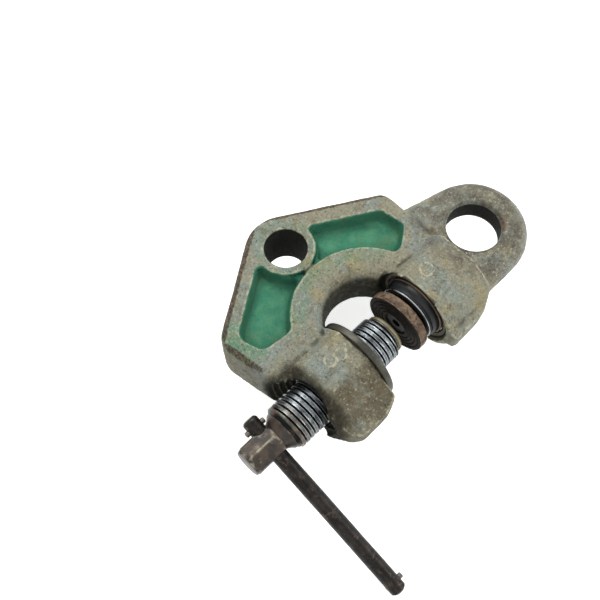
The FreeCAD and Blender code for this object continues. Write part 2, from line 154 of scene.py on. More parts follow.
class Skin:
    """A mesh as arrays, so that relaxing and measuring work on all points at once."""

    def __init__(self, mesh):
        self.mesh = mesh
        edges = np.empty(len(mesh.edges) * 2, np.int64)
        mesh.edges.foreach_get("vertices", edges)
        self.a, self.b = edges.reshape(-1, 2).T
        self.count = np.bincount(np.r_[self.a, self.b], minlength=len(mesh.vertices))
        self.co = read_points(mesh)

    def neighbours(self, values):
        """Mean of each point's neighbours."""
        if values.ndim == 1:
            values = values[:, None]
        total = np.empty_like(values)
        for k in range(values.shape[1]):
            column = values[:, k]
            total[:, k] = (np.bincount(self.a, column[self.b], minlength=len(column))
                           + np.bincount(self.b, column[self.a], minlength=len(column)))
        return (total / self.count[:, None]).squeeze()

    def relax(self, rounds, strength=0.5, weight=None):
        for _ in range(rounds):
            step = (self.neighbours(self.co) - self.co) * strength
            self.co += step if weight is None else step * weight[:, None]
        write_points(self.mesh, self.co)

    def normals(self):
        out = np.empty(len(self.mesh.vertices) * 3, np.float32)
        self.mesh.vertex_normals.foreach_get("vector", out)
        return out.reshape(-1, 3).astype(float)

    def bulge(self, rounds):
        """Above 0 on outside edges, below 0 in corners, spread over a few points."""
        out = ((self.co - self.neighbours(self.co)) * self.normals()).sum(1)
        for _ in range(rounds):
            out = self.neighbours(out)
        return out / np.percentile(np.abs(out), 99)


skin = Skin(forging.data)
skin.relax(2)

# %% [markdown]
# Where bosses meet the plate, the die leaves a wide fillet, much wider than the small rounding
# of the outer edges.  So the creases are found first, by measuring where the skin bends
# inwards, and only those are relaxed further.  The bores were machined after forging, and they
# keep their shape.

# %% Fillets in the creases
# Millimetres in the part's own frame: the plate's hole, the throat, the bore with its coned
# mouth, and the spot face and socket behind the boss.
HOLE_X, HOLE_Y, HOLE_R = -99.3, 69.4, 14.2
THROAT_X, THROAT_Y = -96.5, 3
CONE_X, CONE_LENGTH, BORE_R = -150, 17, 19
CONE_SLOPE_RISE, CONE_SLOPE_RUN = 6, 16.5
SPOT_FROM, SPOT_TO, SPOT_R, SPOT_HALF = -68, -63.4, 27.3, 23.4
SOCKET_R, SOCKET_SHADE_R, MACHINED_SKIN = 22.8, 23.2, 0.9
x, y, z = (skin.co / MM).T
from_axis = np.hypot(y - AXIS_Y / MM, z)
from_hole = np.hypot(x - HOLE_X, y - HOLE_Y)
from_eye = np.hypot(x, y)
cone_r = BORE_R + np.clip(CONE_X - x, 0, CONE_LENGTH) * CONE_SLOPE_RISE / CONE_SLOPE_RUN
mouth_wall = (x < CONE_X + 0.5) & (from_axis < cone_r + MACHINED_SKIN)
spot_wall = (x > SPOT_FROM) & (x < SPOT_TO) & (from_axis < SPOT_R) & (np.abs(z) < SPOT_HALF)
machined = (mouth_wall | spot_wall | (from_axis < SOCKET_R) & (x > SPOT_FROM)
            | (from_axis < BORE_R + 0.5) | (from_hole < HOLE_R))
hollow = np.clip(-skin.bulge(6) * 3.0, 0, 1)
hollow[machined] = 0
skin.relax(9, 0.6, hollow)
neck = hollow * np.clip((x + 50) / 10, 0, 1) * np.clip((y - 6) / 10, 0, 1)
skin.relax(40, 0.7, np.clip(neck * 2, 0, 1))
print("creases:", int((hollow > 0.3).sum()), "points")

# %% [markdown]
# A forged skin is never quite flat: scale, die wear and shot-blasting leave soft dents and a
# fine orange peel.  Noise moves each point along its normal, in three sizes.  The die halves
# meet half way up, and trimming the flash there leaves a low ridge round the outline.  Small
# raised rings stand on the bosses, and turning marks run round the coned mouth of the bore.

# %% Forged relief, rings and parting line
co, normal = skin.co, skin.normals()
x, y, z = (co / MM).T
RING_HEIGHT, RING_WIDTH, BOSS_TOP, TURNING_DEPTH, TURNING_STEP = 0.75, 0.8, 22, 0.42, 3.5
RINGS = [(-135.4, -4.2, 3.6), (-128.6, -5.6, 3.6), (-121.6, -4.6, 2.0), (-52.1, -3.5, 4.2)]
raised, in_ring = np.zeros(len(co)), np.zeros(len(co), dtype=bool)
for ring_x, ring_y, ring_r in RINGS:
    off = (np.hypot(x - ring_x, y - ring_y) - ring_r) / RING_WIDTH
    raised += RING_HEIGHT * np.exp(-off ** 2) * (z > BOSS_TOP)
    in_ring |= (off < 2.5) & (z > BOSS_TOP)
ring_mark = raised / RING_HEIGHT
turning = np.arctan2(z, y - AXIS_Y / MM) / (2 * math.pi)
in_cone = mouth_wall & (x < -151) & (x > -165.2) & (np.abs(z) < 19)
turned = np.where(in_cone, np.sin(2 * math.pi * (x / TURNING_STEP + turning)), 0)
raised += TURNING_DEPTH * turned
relief = np.array([0.30 * noise.noise(Vector(p) * 60) + 0.20 * noise.noise(Vector(p) * 190)
                   + 0.17 * noise.noise(Vector(p) * 520) for p in co])
side_facing = np.clip(1 - np.abs(normal[:, 2]) * 1.6, 0, 1)
ridge = 0.25 * np.exp(-(co[:, 2] / MM / 1.6) ** 2) * side_facing
keep_bore = np.where(machined, 0.08, 1.0)
lift = (relief * 0.8 + ridge * np.where(machined, 0, 1)) * keep_bore + raised
skin.co = co + normal * (lift * MM)[:, None]
skin.relax(1, 0.3)
forging.data.shade_smooth()
print("relief:", round(float(relief.std()), 3), "mm")

# %% [markdown]
# ## Wear, dirt, painted shade and paint as point attributes
# Wear follows shape: edges are rubbed bright, corners hold dirt and painted shade, bores and
# hollows are painted dark as shade, and paint lives in the sunk pockets.  A shader can guess at
# this, but a stored value per point is steadier, looks the same from every side, and survives
# export.  Eight values are stored: edge, dirt with painted shade, paint, painted shade on the
# pockets' steep walls, green overspray, the plate's rusty rim, the oily side of the screw boss,
# and the dark polished skin of the lifting eye.

# %% Measure the skin
x, y, z = (skin.co / MM).T
edge = np.clip(skin.bulge(1) * 1.2 + ring_mark * 0.5, 0, 1)
# Creases are darkened: painted shade, with some dirt.
crease_shade_and_dirt = np.clip(-skin.bulge(5) * 1.9, 0, 1) * np.where((x > -45) & (y > 6), 0.35, 1)
crease_shade_and_dirt[in_ring] = 0
upward = skin.normals()[:, 2]


def soft_step(value, low, high):
    t = np.clip((value - low) / (high - low), 0, 1)
    return t * t * (3 - 2 * t)


BRIDGE_X = -98.5
PLATE_CORNERS = [(-165.9, 9.0), (-173.1, 51.4), (-100.6, 99.5), (-25.6, 54.7)]
TOP_X, TOP_Y = PLATE_CORNERS[2]
LEFT_SLOPE, RIGHT_SLOPE, RIM_WIDTH = 0.657, 0.598, 9
from_throat = np.hypot(x - THROAT_X, y - THROAT_Y)
# Recesses are darkened as painted shade: the throat and the eye's bore with dirt too, the plate's hole, the
# coned mouth and the spot face with grease too, and the socket behind the boss.  The nose carries grease.
throat_shade_and_dirt = soft_step(37 - from_throat, 0, 5) * soft_step(17 - np.abs(z), 0, 6) * (y > -12)
hole_shade = soft_step(HOLE_R - from_hole, 0, 0.8) * soft_step(18 - np.abs(z), 0, 1)
mouth_shade_and_grease = soft_step(cone_r + 2.2 - from_axis, 0, 1.6) * (x < -148)
on_nose = soft_step(-144.5 - x, 0, 8) * soft_step(35.0 - from_axis, 0, 9.5)
socket_shade = (soft_step(SOCKET_SHADE_R - from_axis, 0, 1)
             * ((x > -67.5) & (x < -40) & (np.abs(z) < SOCKET_SHADE_R)))
eye_bore_shade_and_dirt = soft_step(20.5 - from_eye, 0, 2.0) * soft_step(9.0 - z, 0, 3) * (np.abs(z) < 6.6) * (x > -18.6)
dirt_and_shade = np.maximum.reduce([crease_shade_and_dirt * 0.9, throat_shade_and_dirt * 0.68, hole_shade, mouth_shade_and_grease, on_nose * 0.70, spot_wall * 0.45,
                          socket_shade, eye_bore_shade_and_dirt * 0.9])


def inside_of(x0, y0, x1, y1):
    """Distance of each point inside one straight side of the plate, from its two ends."""
    length = math.hypot(x1 - x0, y1 - y0)
    return ((x - x0) * (y1 - y0) - (y - y0) * (x1 - x0)) / length


from_side = np.minimum.reduce([inside_of(*a, *b) for a, b in zip(PLATE_CORNERS, PLATE_CORNERS[1:])])
rim = soft_step(5.6 - from_side, 0, 3.0) * soft_step(y, 8, 30) * (x < -24) * soft_step(np.abs(z), 10, 19)
side_wall = soft_step(0.55 - np.abs(upward), 0, 0.4) * soft_step(3.5 - from_side, 0, 2) * (y > 0) * (x < -24)
saddle = (np.abs(x - BRIDGE_X) < 12) & (from_hole > 18.7) & (from_throat > 45.8) & (y < 60) & (np.abs(z) > 12)
dirt_and_shade = np.maximum.reduce([dirt_and_shade, 0.42 * side_wall, 0.6 * saddle])
# The crests of the turning marks keep less of the mouth's painted shade, so they show as lighter arcs, a
# painted highlight.
dirt_and_shade = np.where(turned > 0.6, 0.6, dirt_and_shade)
dull = soft_step(46 - from_eye, 0, 12)
oily = soft_step(-108 - x, 0, 8) * soft_step(-14 - y, 0, 8)
spray = np.maximum.reduce([soft_step(-150 - x, 0, 8) * soft_step(60 - y, 0, 8) * soft_step(from_axis, 36, 44),
                           0.55 * soft_step(9 - np.abs(from_throat - 42), 0, 6) * (y > 22),
                           0.35 * soft_step(22 - from_hole, 0, 3)]) * (np.abs(z) > 14)

paint = np.zeros(len(x))
sunk = soft_step(17.9 - np.abs(z), 0.0, 1.2) * (np.abs(z) > 6)
inside = (from_throat > 44.5) & (from_hole > 17.0) & (y > 15)
left = inside & (x < -104) & (x > -161) & (y - TOP_Y < (x - TOP_X) * LEFT_SLOPE - RIM_WIDTH)
right = inside & (x > -96) & (x < -33) & (y - TOP_Y < -(x - TOP_X) * RIGHT_SLOPE - RIM_WIDTH)
bridge = inside & (np.abs(x - BRIDGE_X) < 11) & (y < 60) & (np.abs(z) > 12)
painted_area = left | right | bridge
paint[painted_area] = sunk[painted_area]
# Steep pocket walls are stored for a darker green: painted shade.
wall_shade = soft_step(0.88 - np.abs(upward), 0, 0.45) * painted_area * sunk
dirt_and_shade = np.where(painted_area & (np.abs(z) < 15), dirt_and_shade * 0.35, dirt_and_shade)
paint = skin.neighbours(skin.neighbours(paint))
paint = np.maximum(paint, 0.24 * spray)


def store(mesh, name, values):
    layer = mesh.attributes.new(name, "FLOAT", "POINT")
    layer.data.foreach_set("value", values.astype(np.float32))


stored = {"edge": edge, "dirt_and_shade": dirt_and_shade, "paint": paint, "rim": rim, "dull": dull,
          "wall_shade": skin.neighbours(wall_shade), "oily": oily, "spray": spray}
for name, values in stored.items():
    store(forging.data, name, values)
print("painted points:", int((paint > 0.5).sum()))
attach(forging, "body")
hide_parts("frame")

# %% [markdown]
# ## Building shaders from small steps
# Each finish below is a chain of the same few steps: noise of some size, a ramp that picks out
# part of it, and a mix of two colours.  Writing each step as one short function keeps a finish
# readable as a recipe.  Noise is measured in object space in millimetres, so it stays with a
# piece when the piece moves.

# %% Shader steps
def linear(code):
    """A hex colour as linear red, green, blue and alpha."""
    parts = [int(code[i:i + 2], 16) / 255 for i in (1, 3, 5)]
    return [c / 12.92 if c <= 0.04045 else ((c + 0.055) / 1.055) ** 2.4 for c in parts] + [1.0]


class Finish:
    """A material with its shader, and the steps that feed it."""

    def __init__(self, name, metallic=0.0, roughness=0.5):
        self.mat = bpy.data.materials.new(name)
        self.mat.use_nodes = True
        self.tree = self.mat.node_tree
        self.shader = self.tree.nodes["Principled BSDF"]
        self.shader.inputs["Metallic"].default_value = metallic
        self.shader.inputs["Roughness"].default_value = roughness
        where = self.node("ShaderNodeTexCoord")
        scaled = self.node("ShaderNodeVectorMath", operation="SCALE")
        scaled.inputs["Scale"].default_value = 1000.0
        self.link(where.outputs["Object"], scaled.inputs[0])
        self.where = scaled.outputs[0]

    def node(self, kind, **settings):
        made = self.tree.nodes.new(kind)
        for key, value in settings.items():
            setattr(made, key, value)
        return made

    def link(self, source, target):
        self.tree.links.new(source, target)

    def set(self, socket, value):
        if isinstance(value, bpy.types.NodeSocket):
            self.link(value, socket)
        else:
            socket.default_value = value

    def noise(self, size, detail=4.0, rough=0.55, warp=0.0, shift=0.0):
        """Noise whose blotches are about size millimetres across."""
        made = self.node("ShaderNodeTexNoise", noise_dimensions="4D")
        made.inputs["Scale"].default_value = 1.0 / size
        made.inputs["Detail"].default_value = detail
        made.inputs["Roughness"].default_value = rough
        made.inputs["Distortion"].default_value = warp
        made.inputs["W"].default_value = shift
        self.link(self.where, made.inputs["Vector"])
        return made.outputs["Fac"]

    def ramp(self, value, low, high):
        """0 below low, 1 above high, smooth between."""
        made = self.node("ShaderNodeMapRange", interpolation_type="SMOOTHSTEP")
        made.inputs["From Min"].default_value = low
        made.inputs["From Max"].default_value = high
        self.set(made.inputs["Value"], value)
        return made.outputs["Result"]

    def math(self, operation, a, b=0.0, clamp=False):
        made = self.node("ShaderNodeMath", operation=operation, use_clamp=clamp)
        self.set(made.inputs[0], a)
        self.set(made.inputs[1], b)
        return made.outputs[0]

    def times(self, a, b):
        return self.math("MULTIPLY", a, b)

    def patches(self, low, high, *noise_settings):
        """Blotches of noise: 0 where it is below low, 1 where it is above high."""
        return self.ramp(self.noise(*noise_settings), low, high)

    def wobble(self, gain, *noise_settings):
        """Noise centred on 0 and multiplied by gain, which breaks up a straight border."""
        return self.times(self.math("SUBTRACT", self.noise(*noise_settings), 0.5), gain)

    def mix(self, share, a, b):
        """Colour a where share is 0, colour b where it is 1."""
        made = self.node("ShaderNodeMix", data_type="RGBA")
        self.set(made.inputs[0], share)
        self.set(made.inputs[6], linear(a) if isinstance(a, str) else a)
        self.set(made.inputs[7], linear(b) if isinstance(b, str) else b)
        return made.outputs[2]

    def value(self, share, a, b):
        made = self.node("ShaderNodeMix", data_type="FLOAT")
        self.set(made.inputs[0], share)
        self.set(made.inputs[2], a)
        self.set(made.inputs[3], b)
        return made.outputs[0]

    def attribute(self, name):
        return self.node("ShaderNodeAttribute", attribute_name=name).outputs["Fac"]

    def bump(self, height, depth, strength=1.0):
        """Bump of about depth millimetres; further calls stack on the first."""
        made = self.node("ShaderNodeBump")
        made.inputs["Distance"].default_value = depth * MM
        made.inputs["Strength"].default_value = strength
        self.link(height, made.inputs["Height"])
        before = self.shader.inputs["Normal"]
        if before.is_linked:
            self.link(before.links[0].from_socket, made.inputs["Normal"])
        self.link(made.outputs["Normal"], before)

    def done(self, colour, rough=None, metallic=None):
        self.link(colour, self.shader.inputs["Base Color"])
        if rough is not None:
            self.link(rough, self.shader.inputs["Roughness"])
        if metallic is not None:
            self.link(metallic, self.shader.inputs["Metallic"])
        return self.mat


# %% [markdown]
# ## Forging finish: olive scale, rust and green paint
# The bare forging is a warm grey-olive with cooler blue-grey patches where scale has come off,
# yellow stains, and brown rust that gathers along edges.  Over it, rubbed edges are pale, and
# the pockets are brushed with green paint that is thin and chipped near their rims.  Creases,
# bores and hollows are painted dark towards black, as painted shade mixed with soot and grease,
# and the pockets' corners and steep walls get a darker green, painted shade with some dirt.

# %% Forging finish
f = Finish("olive_forging_with_green_paint", roughness=0.6)
f.shader.inputs["Specular IOR Level"].default_value = 0.12
body = f.mix(f.patches(0.42, 0.60, 30, 5, 0.65, 0.6), "#868370", "#7e867e")
body = f.mix(f.patches(0.52, 0.66, 20, 5, 0.6, 0.8, 3), body, "#8e8668")
body = f.mix(f.times(f.attribute("oily"), f.patches(0.28, 0.58, 14, 5, 0.7, 0.5, 71)), body, "#5c5544")
body = f.mix(f.times(f.patches(0.48, 0.68, 9, 6, 0.75, 0.5, 7), 0.85), body, "#656151")
body = f.mix(f.times(f.attribute("dull"), f.patches(0.30, 0.62, 12, 5, 0.7, 0.4, 47)), body, "#57534a")
mist = f.times(f.attribute("spray"), f.patches(0.34, 0.62, 6, 6, 0.75, 0.4, 73))
body = f.mix(f.times(mist, 0.85), body, "#527f62")
grain, pits = f.noise(1.5, 5, 0.8, 0.2, 11), f.noise(3.2, 5, 0.8, 0.3, 13)
body = f.mix(f.times(f.ramp(grain, 0.53, 0.68), 0.62), body, "#c3c0ab")
body = f.mix(f.times(f.ramp(grain, 0.47, 0.33), 0.85), body, "#34322a")
body = f.mix(f.times(f.ramp(pits, 0.45, 0.32), 0.70), body, "#403c31")
rust = f.mix(f.noise(2.0, 3, 0.6), "#54402f", "#80644a")
body = f.mix(f.times(f.patches(0.57, 0.68, 13, 6, 0.75, 1.0, 17), 0.6), body, rust)
edge_value = f.attribute("edge")
rubbed = f.math("ADD", f.noise(3.0, 4, 0.7, 0.2, 23), f.times(edge_value, 0.36))
body = f.mix(f.times(f.ramp(rubbed, 0.72, 0.92), 0.6), body, "#bab69c")
rim_where = f.math("ADD", f.attribute("rim"), f.wobble(1.6, 5, 5, 0.75, 0.5, 19))
rim_tone = f.mix(f.patches(0.44, 0.60, 1.6, 5, 0.75, 0, 29), "#231e18", "#6b5645")
body = f.mix(f.times(f.ramp(rim_where, 0.36, 0.74), 0.85), body, rim_tone)
# This value is dirt and painted shade together: where it is high, creases, bores and hollows go dark towards
# black.
dirt_and_shade_value = f.attribute("dirt_and_shade")
soot_and_shade = f.math("ADD", dirt_and_shade_value, f.wobble(0.8, 4, 6, 0.8, 0.3, 43))
soot_and_shade = f.times(f.ramp(soot_and_shade, 0.22, 0.80), f.ramp(dirt_and_shade_value, 0.05, 0.35))
soot_and_shade_tone = f.mix(f.ramp(dirt_and_shade_value, 0.55, 0.9), f.mix(f.noise(2.5, 4), "#1b1a14", "#353126"), "#0b0b09")
body = f.mix(f.times(soot_and_shade, 0.96), body, soot_and_shade_tone)
green = f.mix(f.patches(0.38, 0.66, 8, 5, 0.65, 0.4, 31), "#3b7c61", "#4f8b6c")
green = f.mix(f.times(f.patches(0.50, 0.64, 14, 5, 0.7, 0.4, 33), 0.6), green, "#5d7e5d")
green = f.mix(f.times(f.patches(0.60, 0.76, 1.1, 4, 0.7, 0.0, 37), 0.45), green, "#98b096")
green = f.mix(f.times(f.ramp(grain, 0.46, 0.34), 0.5), green, "#1f4f40")
# Painted shade and dirt darken the green in the pockets' corners.
green = f.mix(f.ramp(dirt_and_shade_value, 0.10, 0.75), green, "#0f2a25")
# Steep walls of the pockets get a darker green: painted shade.
green = f.mix(f.times(f.attribute("wall_shade"), 0.50), green, "#173f34")
coat_where = f.math("ADD", f.attribute("paint"), f.wobble(1.1, 3.5, 6, 0.75, 0.6, 41))
painted = f.ramp(coat_where, 0.36, 0.46)
body = f.mix(painted, body, green)
f.bump(f.noise(6, 4, 0.6, 0.2, 51), 0.5, 0.5)
f.bump(pits, 0.6, 0.8)
f.bump(grain, 0.45, 1.0)
polished = f.times(f.attribute("dull"), f.math("SUBTRACT", 1.0, soot_and_shade, clamp=True))
bare_gloss = f.value(polished, f.value(f.noise(4, 4, 0.6, 0, 61), 0.50, 0.75),
                     f.value(f.noise(5, 4, 0.6, 0, 63), 0.28, 0.50))
bare_gloss = f.value(soot_and_shade, bare_gloss, 0.8)
metal = f.times(f.math("SUBTRACT", 1.0, soot_and_shade, clamp=True), f.value(polished, 0.15, 0.62))
f.done(body, f.value(painted, bare_gloss, 0.55), f.value(painted, metal, 0.0))
forging.data.materials.append(f.mat)

# %% [markdown]
# ## Round parts from a turned outline
# Most of the clamp's hardware came off a lathe, so its shape is an outline turned about the
# screw axis.  A modifier could spin a curve, but rows of points joined by quads are as short
# and keep the mesh even.  Real corners are broken with a small radius, and that radius is what
# catches the light, so each corner of an outline may name its own.

# %% Turned outlines with broken corners
TURNED_COLUMNS, TURNED_SMOOTH = 128, 50.0


def broken_corners(outline, steps=4):
    """(x, radius, corner) points to a finer outline whose corners are small arcs."""
    points, count = [], len(outline)
    for i, (px, pr, size) in enumerate(outline):
        here = Vector((px, pr))
        before = Vector(outline[i - 1][:2]) - here
        after = Vector(outline[(i + 1) % count][:2]) - here
        size = min(size, before.length * 0.49, after.length * 0.49)
        if size < 1e-4:
            points.append((px, pr))
            continue
        start, end = here + before.normalized() * size, here + after.normalized() * size
        for k in range(steps + 1):
            t = k / steps
            spot = start * (1 - t) ** 2 + here * 2 * t * (1 - t) + end * t * t
            points.append((spot.x, spot.y))
    return points


def turned_piece(name, outline):
    """A closed outline of (x, radius, corner) in millimetres, turned about the screw axis."""
    bm = bmesh.new()
    skin_rows(bm, lathe_rows(broken_corners(outline), TURNED_COLUMNS), loop=True)
    bmesh.ops.remove_doubles(bm, verts=bm.verts, dist=WELD)
    bmesh.ops.dissolve_degenerate(bm, edges=bm.edges, dist=SLIVER)
    return finish_mesh(name, bm, TURNED_SMOOTH)


def mark_edges(piece):
    """Store how sharply the faces round each point turn, as the edge attribute."""
    mesh = piece.data
    facing = np.empty(len(mesh.polygons) * 3, np.float32)
    mesh.polygons.foreach_get("normal", facing)
    facing = facing.reshape(-1, 3)
    mean = np.zeros((len(mesh.vertices), 3))
    count = np.zeros(len(mesh.vertices))
    for face in mesh.polygons:
        for v in face.vertices:
            mean[v] += facing[face.index]
            count[v] += 1
    flat = np.linalg.norm(mean, axis=1) / np.maximum(count, 1)
    values = np.clip((1 - flat) * 14, 0, 1)
    store(mesh, "edge", np.maximum(values, Skin(mesh).neighbours(values)))


def fit(piece, body, node, material):
    """Put a piece on its body in place of its CAD node, with its finish."""
    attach(piece, body)
    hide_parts(node)
    piece.data.materials.clear()
    piece.data.materials.append(material)


# %% [markdown]
# ## The clamping screw
# A thread is a helix, not a stack of rings, and the eye sees the difference where the ridges
# run out.  A Screw modifier can make one, but its ends are hard to finish.  Here the rows of the
# mesh follow the helix: the point in column j of row i is moved along by j / N of a pitch, and
# the last column joins the first one pitch further on.  Both ends are cut off square with a
# chamfer, so the thread dies away as it does behind a lathe tool.

# %% Thread, shoulder and hexagon head
PITCH, CREST, DEPTH = 3.5, 14.95, 1.7
THREAD_START, THREAD_STOP = screw_low.x / MM + 28.2, screw_high.x / MM
CHAMFER_R, BOLT_BORE_R, BOLT_BORE_DEPTH, SHOULDER = 12.3, 7.08, 15.4, 5.8
COLUMNS, PER_PITCH = 96, 14
HEAD_FLATS, HEAD_TURN = 18.0, math.radians(20.8)


def ridge_radius(part):
    """Radius across one pitch: a wide crest worn a little hollow, and a narrow groove."""
    away = abs(part % 1.0 - 0.5) * 2
    if away < 0.58:
        return CREST - 0.09 * (1 - (away / 0.58) ** 2)
    return CREST - DEPTH * math.sin(math.pi / 2 * min((away - 0.58) / 0.28, 1.0))


def thread_points():
    turns = math.ceil((THREAD_STOP - THREAD_START) / PITCH) + 2
    columns = []
    for j in range(COLUMNS):
        a = 2 * math.pi * j / COLUMNS
        column = []
        for i in range(turns * PER_PITCH + 1):
            px = THREAD_START + PITCH * (i / PER_PITCH - 1 + j / COLUMNS)
            px = min(max(px, THREAD_START), THREAD_STOP)
            run_out = min(px - THREAD_START, THREAD_STOP - px)
            r = min(ridge_radius(i / PER_PITCH), CHAMFER_R + run_out * 1.1)
            column.append(Vector((px * MM, AXIS_Y + r * MM * math.cos(a), r * MM * math.sin(a))))
        columns.append(column)
    return columns


def head_rows():
    """Hexagon with a turned chamfer at both ends, then the coned shoulder."""
    end, start = screw_low.x / MM, THREAD_START - SHOULDER
    across = HEAD_FLATS / 2
    rows = []
    plain = [(end + 2.6 + (start - end - 5.6) * k / 10, 99.0) for k in range(11)]
    stations = [(end, across - 0.9), (end + 0.25, across - 0.45), (end + 2.3, across + 1.5), *plain,
                (start - 2.4, across + 1.2), (start - 0.8, across + 0.3),
                (start, across - 0.2), (start + 0.5, across + 0.25), (start + 2.5, across + 1.3),
                (THREAD_START - 1.2, 12.2), (THREAD_START - 0.5, 12.6), (THREAD_START, CHAMFER_R)]
    for px, limit in stations:
        row = []
        for j in range(COLUMNS):
            a = 2 * math.pi * j / COLUMNS
            from_flat = (a + HEAD_TURN) % (math.pi / 3) - math.pi / 6
            r = min(limit, across / math.cos(from_flat)) if px < start + 0.2 else limit
            row.append(Vector((px * MM, AXIS_Y + r * MM * math.cos(a), r * MM * math.sin(a))))
        rows.append(row)
    return rows


bm = bmesh.new()
head = skin_rows(bm, head_rows(), closed_ends=False)
bm.faces.new(head[0])
grid = [[bm.verts.new(p) for p in column] for column in thread_points()]
for j, column in enumerate(grid):
    beside = grid[(j + 1) % COLUMNS]
    jump = PER_PITCH if j == COLUMNS - 1 else 0
    for i in range(len(column) - 1 - jump):
        bm.faces.new((column[i], column[i + 1], beside[i + 1 + jump], beside[i + jump]))
bore = skin_rows(bm, lathe_rows([(THREAD_STOP, CHAMFER_R), (THREAD_STOP, BOLT_BORE_R),
                                 (THREAD_STOP - BOLT_BORE_DEPTH, BOLT_BORE_R)], COLUMNS),
                 closed_ends=False)
bm.faces.new(bore[-1])
bmesh.ops.remove_doubles(bm, verts=bm.verts, dist=2e-6)
bmesh.ops.dissolve_degenerate(bm, edges=bm.edges, dist=SLIVER)
screw = finish_mesh("clamping_screw", bm, 35.0)
print("thread:", round((THREAD_STOP - THREAD_START) / PITCH, 1), "turns,", len(screw.data.polygons), "faces")

# %% [markdown]
# The bar slides through a hole drilled across the head.  A boolean cuts it, because a drilled
# hole meets the hexagon in a curve that would be tedious to build by hand.

# %% Drill the head
BAR_WAY = Vector((0, -math.cos(HEAD_TURN), -math.sin(HEAD_TURN)))
bar_low, bar_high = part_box("tommy_bar")
BAR_X = (bar_low.x + bar_high.x) / 2
BAR_R = (bar_high.x - bar_low.x) / 2
BAR_MIDDLE = Vector((BAR_X, AXIS_Y, 0))
ALONG_X = Vector((1, 0, 0))
DRILL_REACH, DRILL_CLEARANCE = 0.03, 0.0002


def rod_rows(rows, around, way, side, at):
    """Rings of points for (distance along, radius) in metres, about the line from at along way."""
    third = way.cross(side)
    return [[at + way * d + (side * math.cos(a) + third * math.sin(a)) * r
             for a in (2 * math.pi * j / around for j in range(around))] for d, r in rows]


bm = bmesh.new()
drill_r = BAR_R + DRILL_CLEARANCE
skin_rows(bm, rod_rows([(-DRILL_REACH, drill_r), (DRILL_REACH, drill_r)], 64, BAR_WAY, ALONG_X, BAR_MIDDLE))
drill = finish_mesh("drill", bm)
cut = screw.modifiers.new("Drill", "BOOLEAN")
cut.operation = "DIFFERENCE"
cut.solver = "EXACT"
cut.object = drill
apply_modifiers(screw)
bpy.data.objects.remove(drill)
mark_edges(screw)
px, py, pz = (read_points(screw.data) / MM).T
screw_up = Skin(screw.data).normals()[:, 2]
# The head's upward faces are stored for painting paler: painted light from above mixed with wear.
store(screw.data, "top_light_and_wear", soft_step(screw_up, 0.45, 0.95) * (px < THREAD_START - 6))
from_line = np.hypot(py - AXIS_Y / MM, pz)
on_thread = (px > THREAD_START) & (px < THREAD_STOP - 0.5)
store(screw.data, "crest", np.clip((from_line - 14.2) / 0.6, 0, 1) * on_thread)
# A thin line at the crest's outer edges is stored for a painted highlight.
store(screw.data, "crest_highlight", np.clip((from_line - 14.90) / 0.04, 0, 1) * on_thread)

# %% [markdown]
# ## The sliding bar and its pins
# The bar is plain round stock with turned-down ends.  Years of sliding and hammering leave it
# very slightly out of round.  A pin is driven across near each end, and stands proud so that
# the bar can't leave the head; the far one is nearly flush on the handle side.

# %% Bar and pins
along = (read_points(nodes["tommy_bar"].data) - np.array(BAR_MIDDLE)) @ np.array(BAR_WAY)
BAR_FROM, BAR_TO = float(along.min()), float(along.max())
stations = [(BAR_FROM, 0.0), (BAR_FROM, 0.68), (BAR_FROM + 0.0003, 0.78), (BAR_FROM + 0.0013, 0.975),
            (BAR_FROM + 0.0018, 1.0)]
steps = 60
stations += [(BAR_FROM + 0.002 + (BAR_TO - BAR_FROM - 0.004) * k / steps, 1.0) for k in range(steps + 1)]
stations += [(BAR_TO - 0.0018, 1.0), (BAR_TO - 0.0013, 0.975), (BAR_TO - 0.0003, 0.78), (BAR_TO, 0.68),
             (BAR_TO, 0.0)]
bm = bmesh.new()
skin_rows(bm, rod_rows([(d, share * BAR_R) for d, share in stations], 48, BAR_WAY, ALONG_X, BAR_MIDDLE),
          closed_ends=False)
bmesh.ops.remove_doubles(bm, verts=bm.verts, dist=WELD)
bar = finish_mesh("sliding_bar", bm)
for v in bar.data.vertices:
    v.co -= v.normal * 0.00012 * (0.5 + noise.noise(v.co * 70))
mark_edges(bar)

bm = bmesh.new()
PIN_R, FROM_END, FAR_PIN_BACK, PIN_CHAMFER = 0.00175, 0.0062, 0.0052, 0.0003
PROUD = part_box("bar_end_pins")[1].x - BAR_X
for d, back in ((BAR_FROM + FROM_END, PROUD), (BAR_TO - FROM_END, FAR_PIN_BACK)):
    at = BAR_MIDDLE + BAR_WAY * d
    rows = [(-back, 0), (-back, PIN_R * 0.72), (-back + PIN_CHAMFER, PIN_R),
            (PROUD - PIN_CHAMFER, PIN_R), (PROUD, PIN_R * 0.72), (PROUD, 0)]
    skin_rows(bm, rod_rows(rows, 24, ALONG_X, BAR_WAY, at), closed_ends=False)
pins = finish_mesh("bar_stop_pins", bm)
mark_edges(pins)

# %% [markdown]
# ## Tip, bush and pad
# The tip is a plain turned button that stays still on the plate while the screw turns behind
# it.  The bush's wide flange takes the screw's thrust against the boss, and its stepped outer end
# shows as arcs in the coned mouth.  The pad is a disc with rings cut in its face
# so that they bite, and a rim rounded by use.

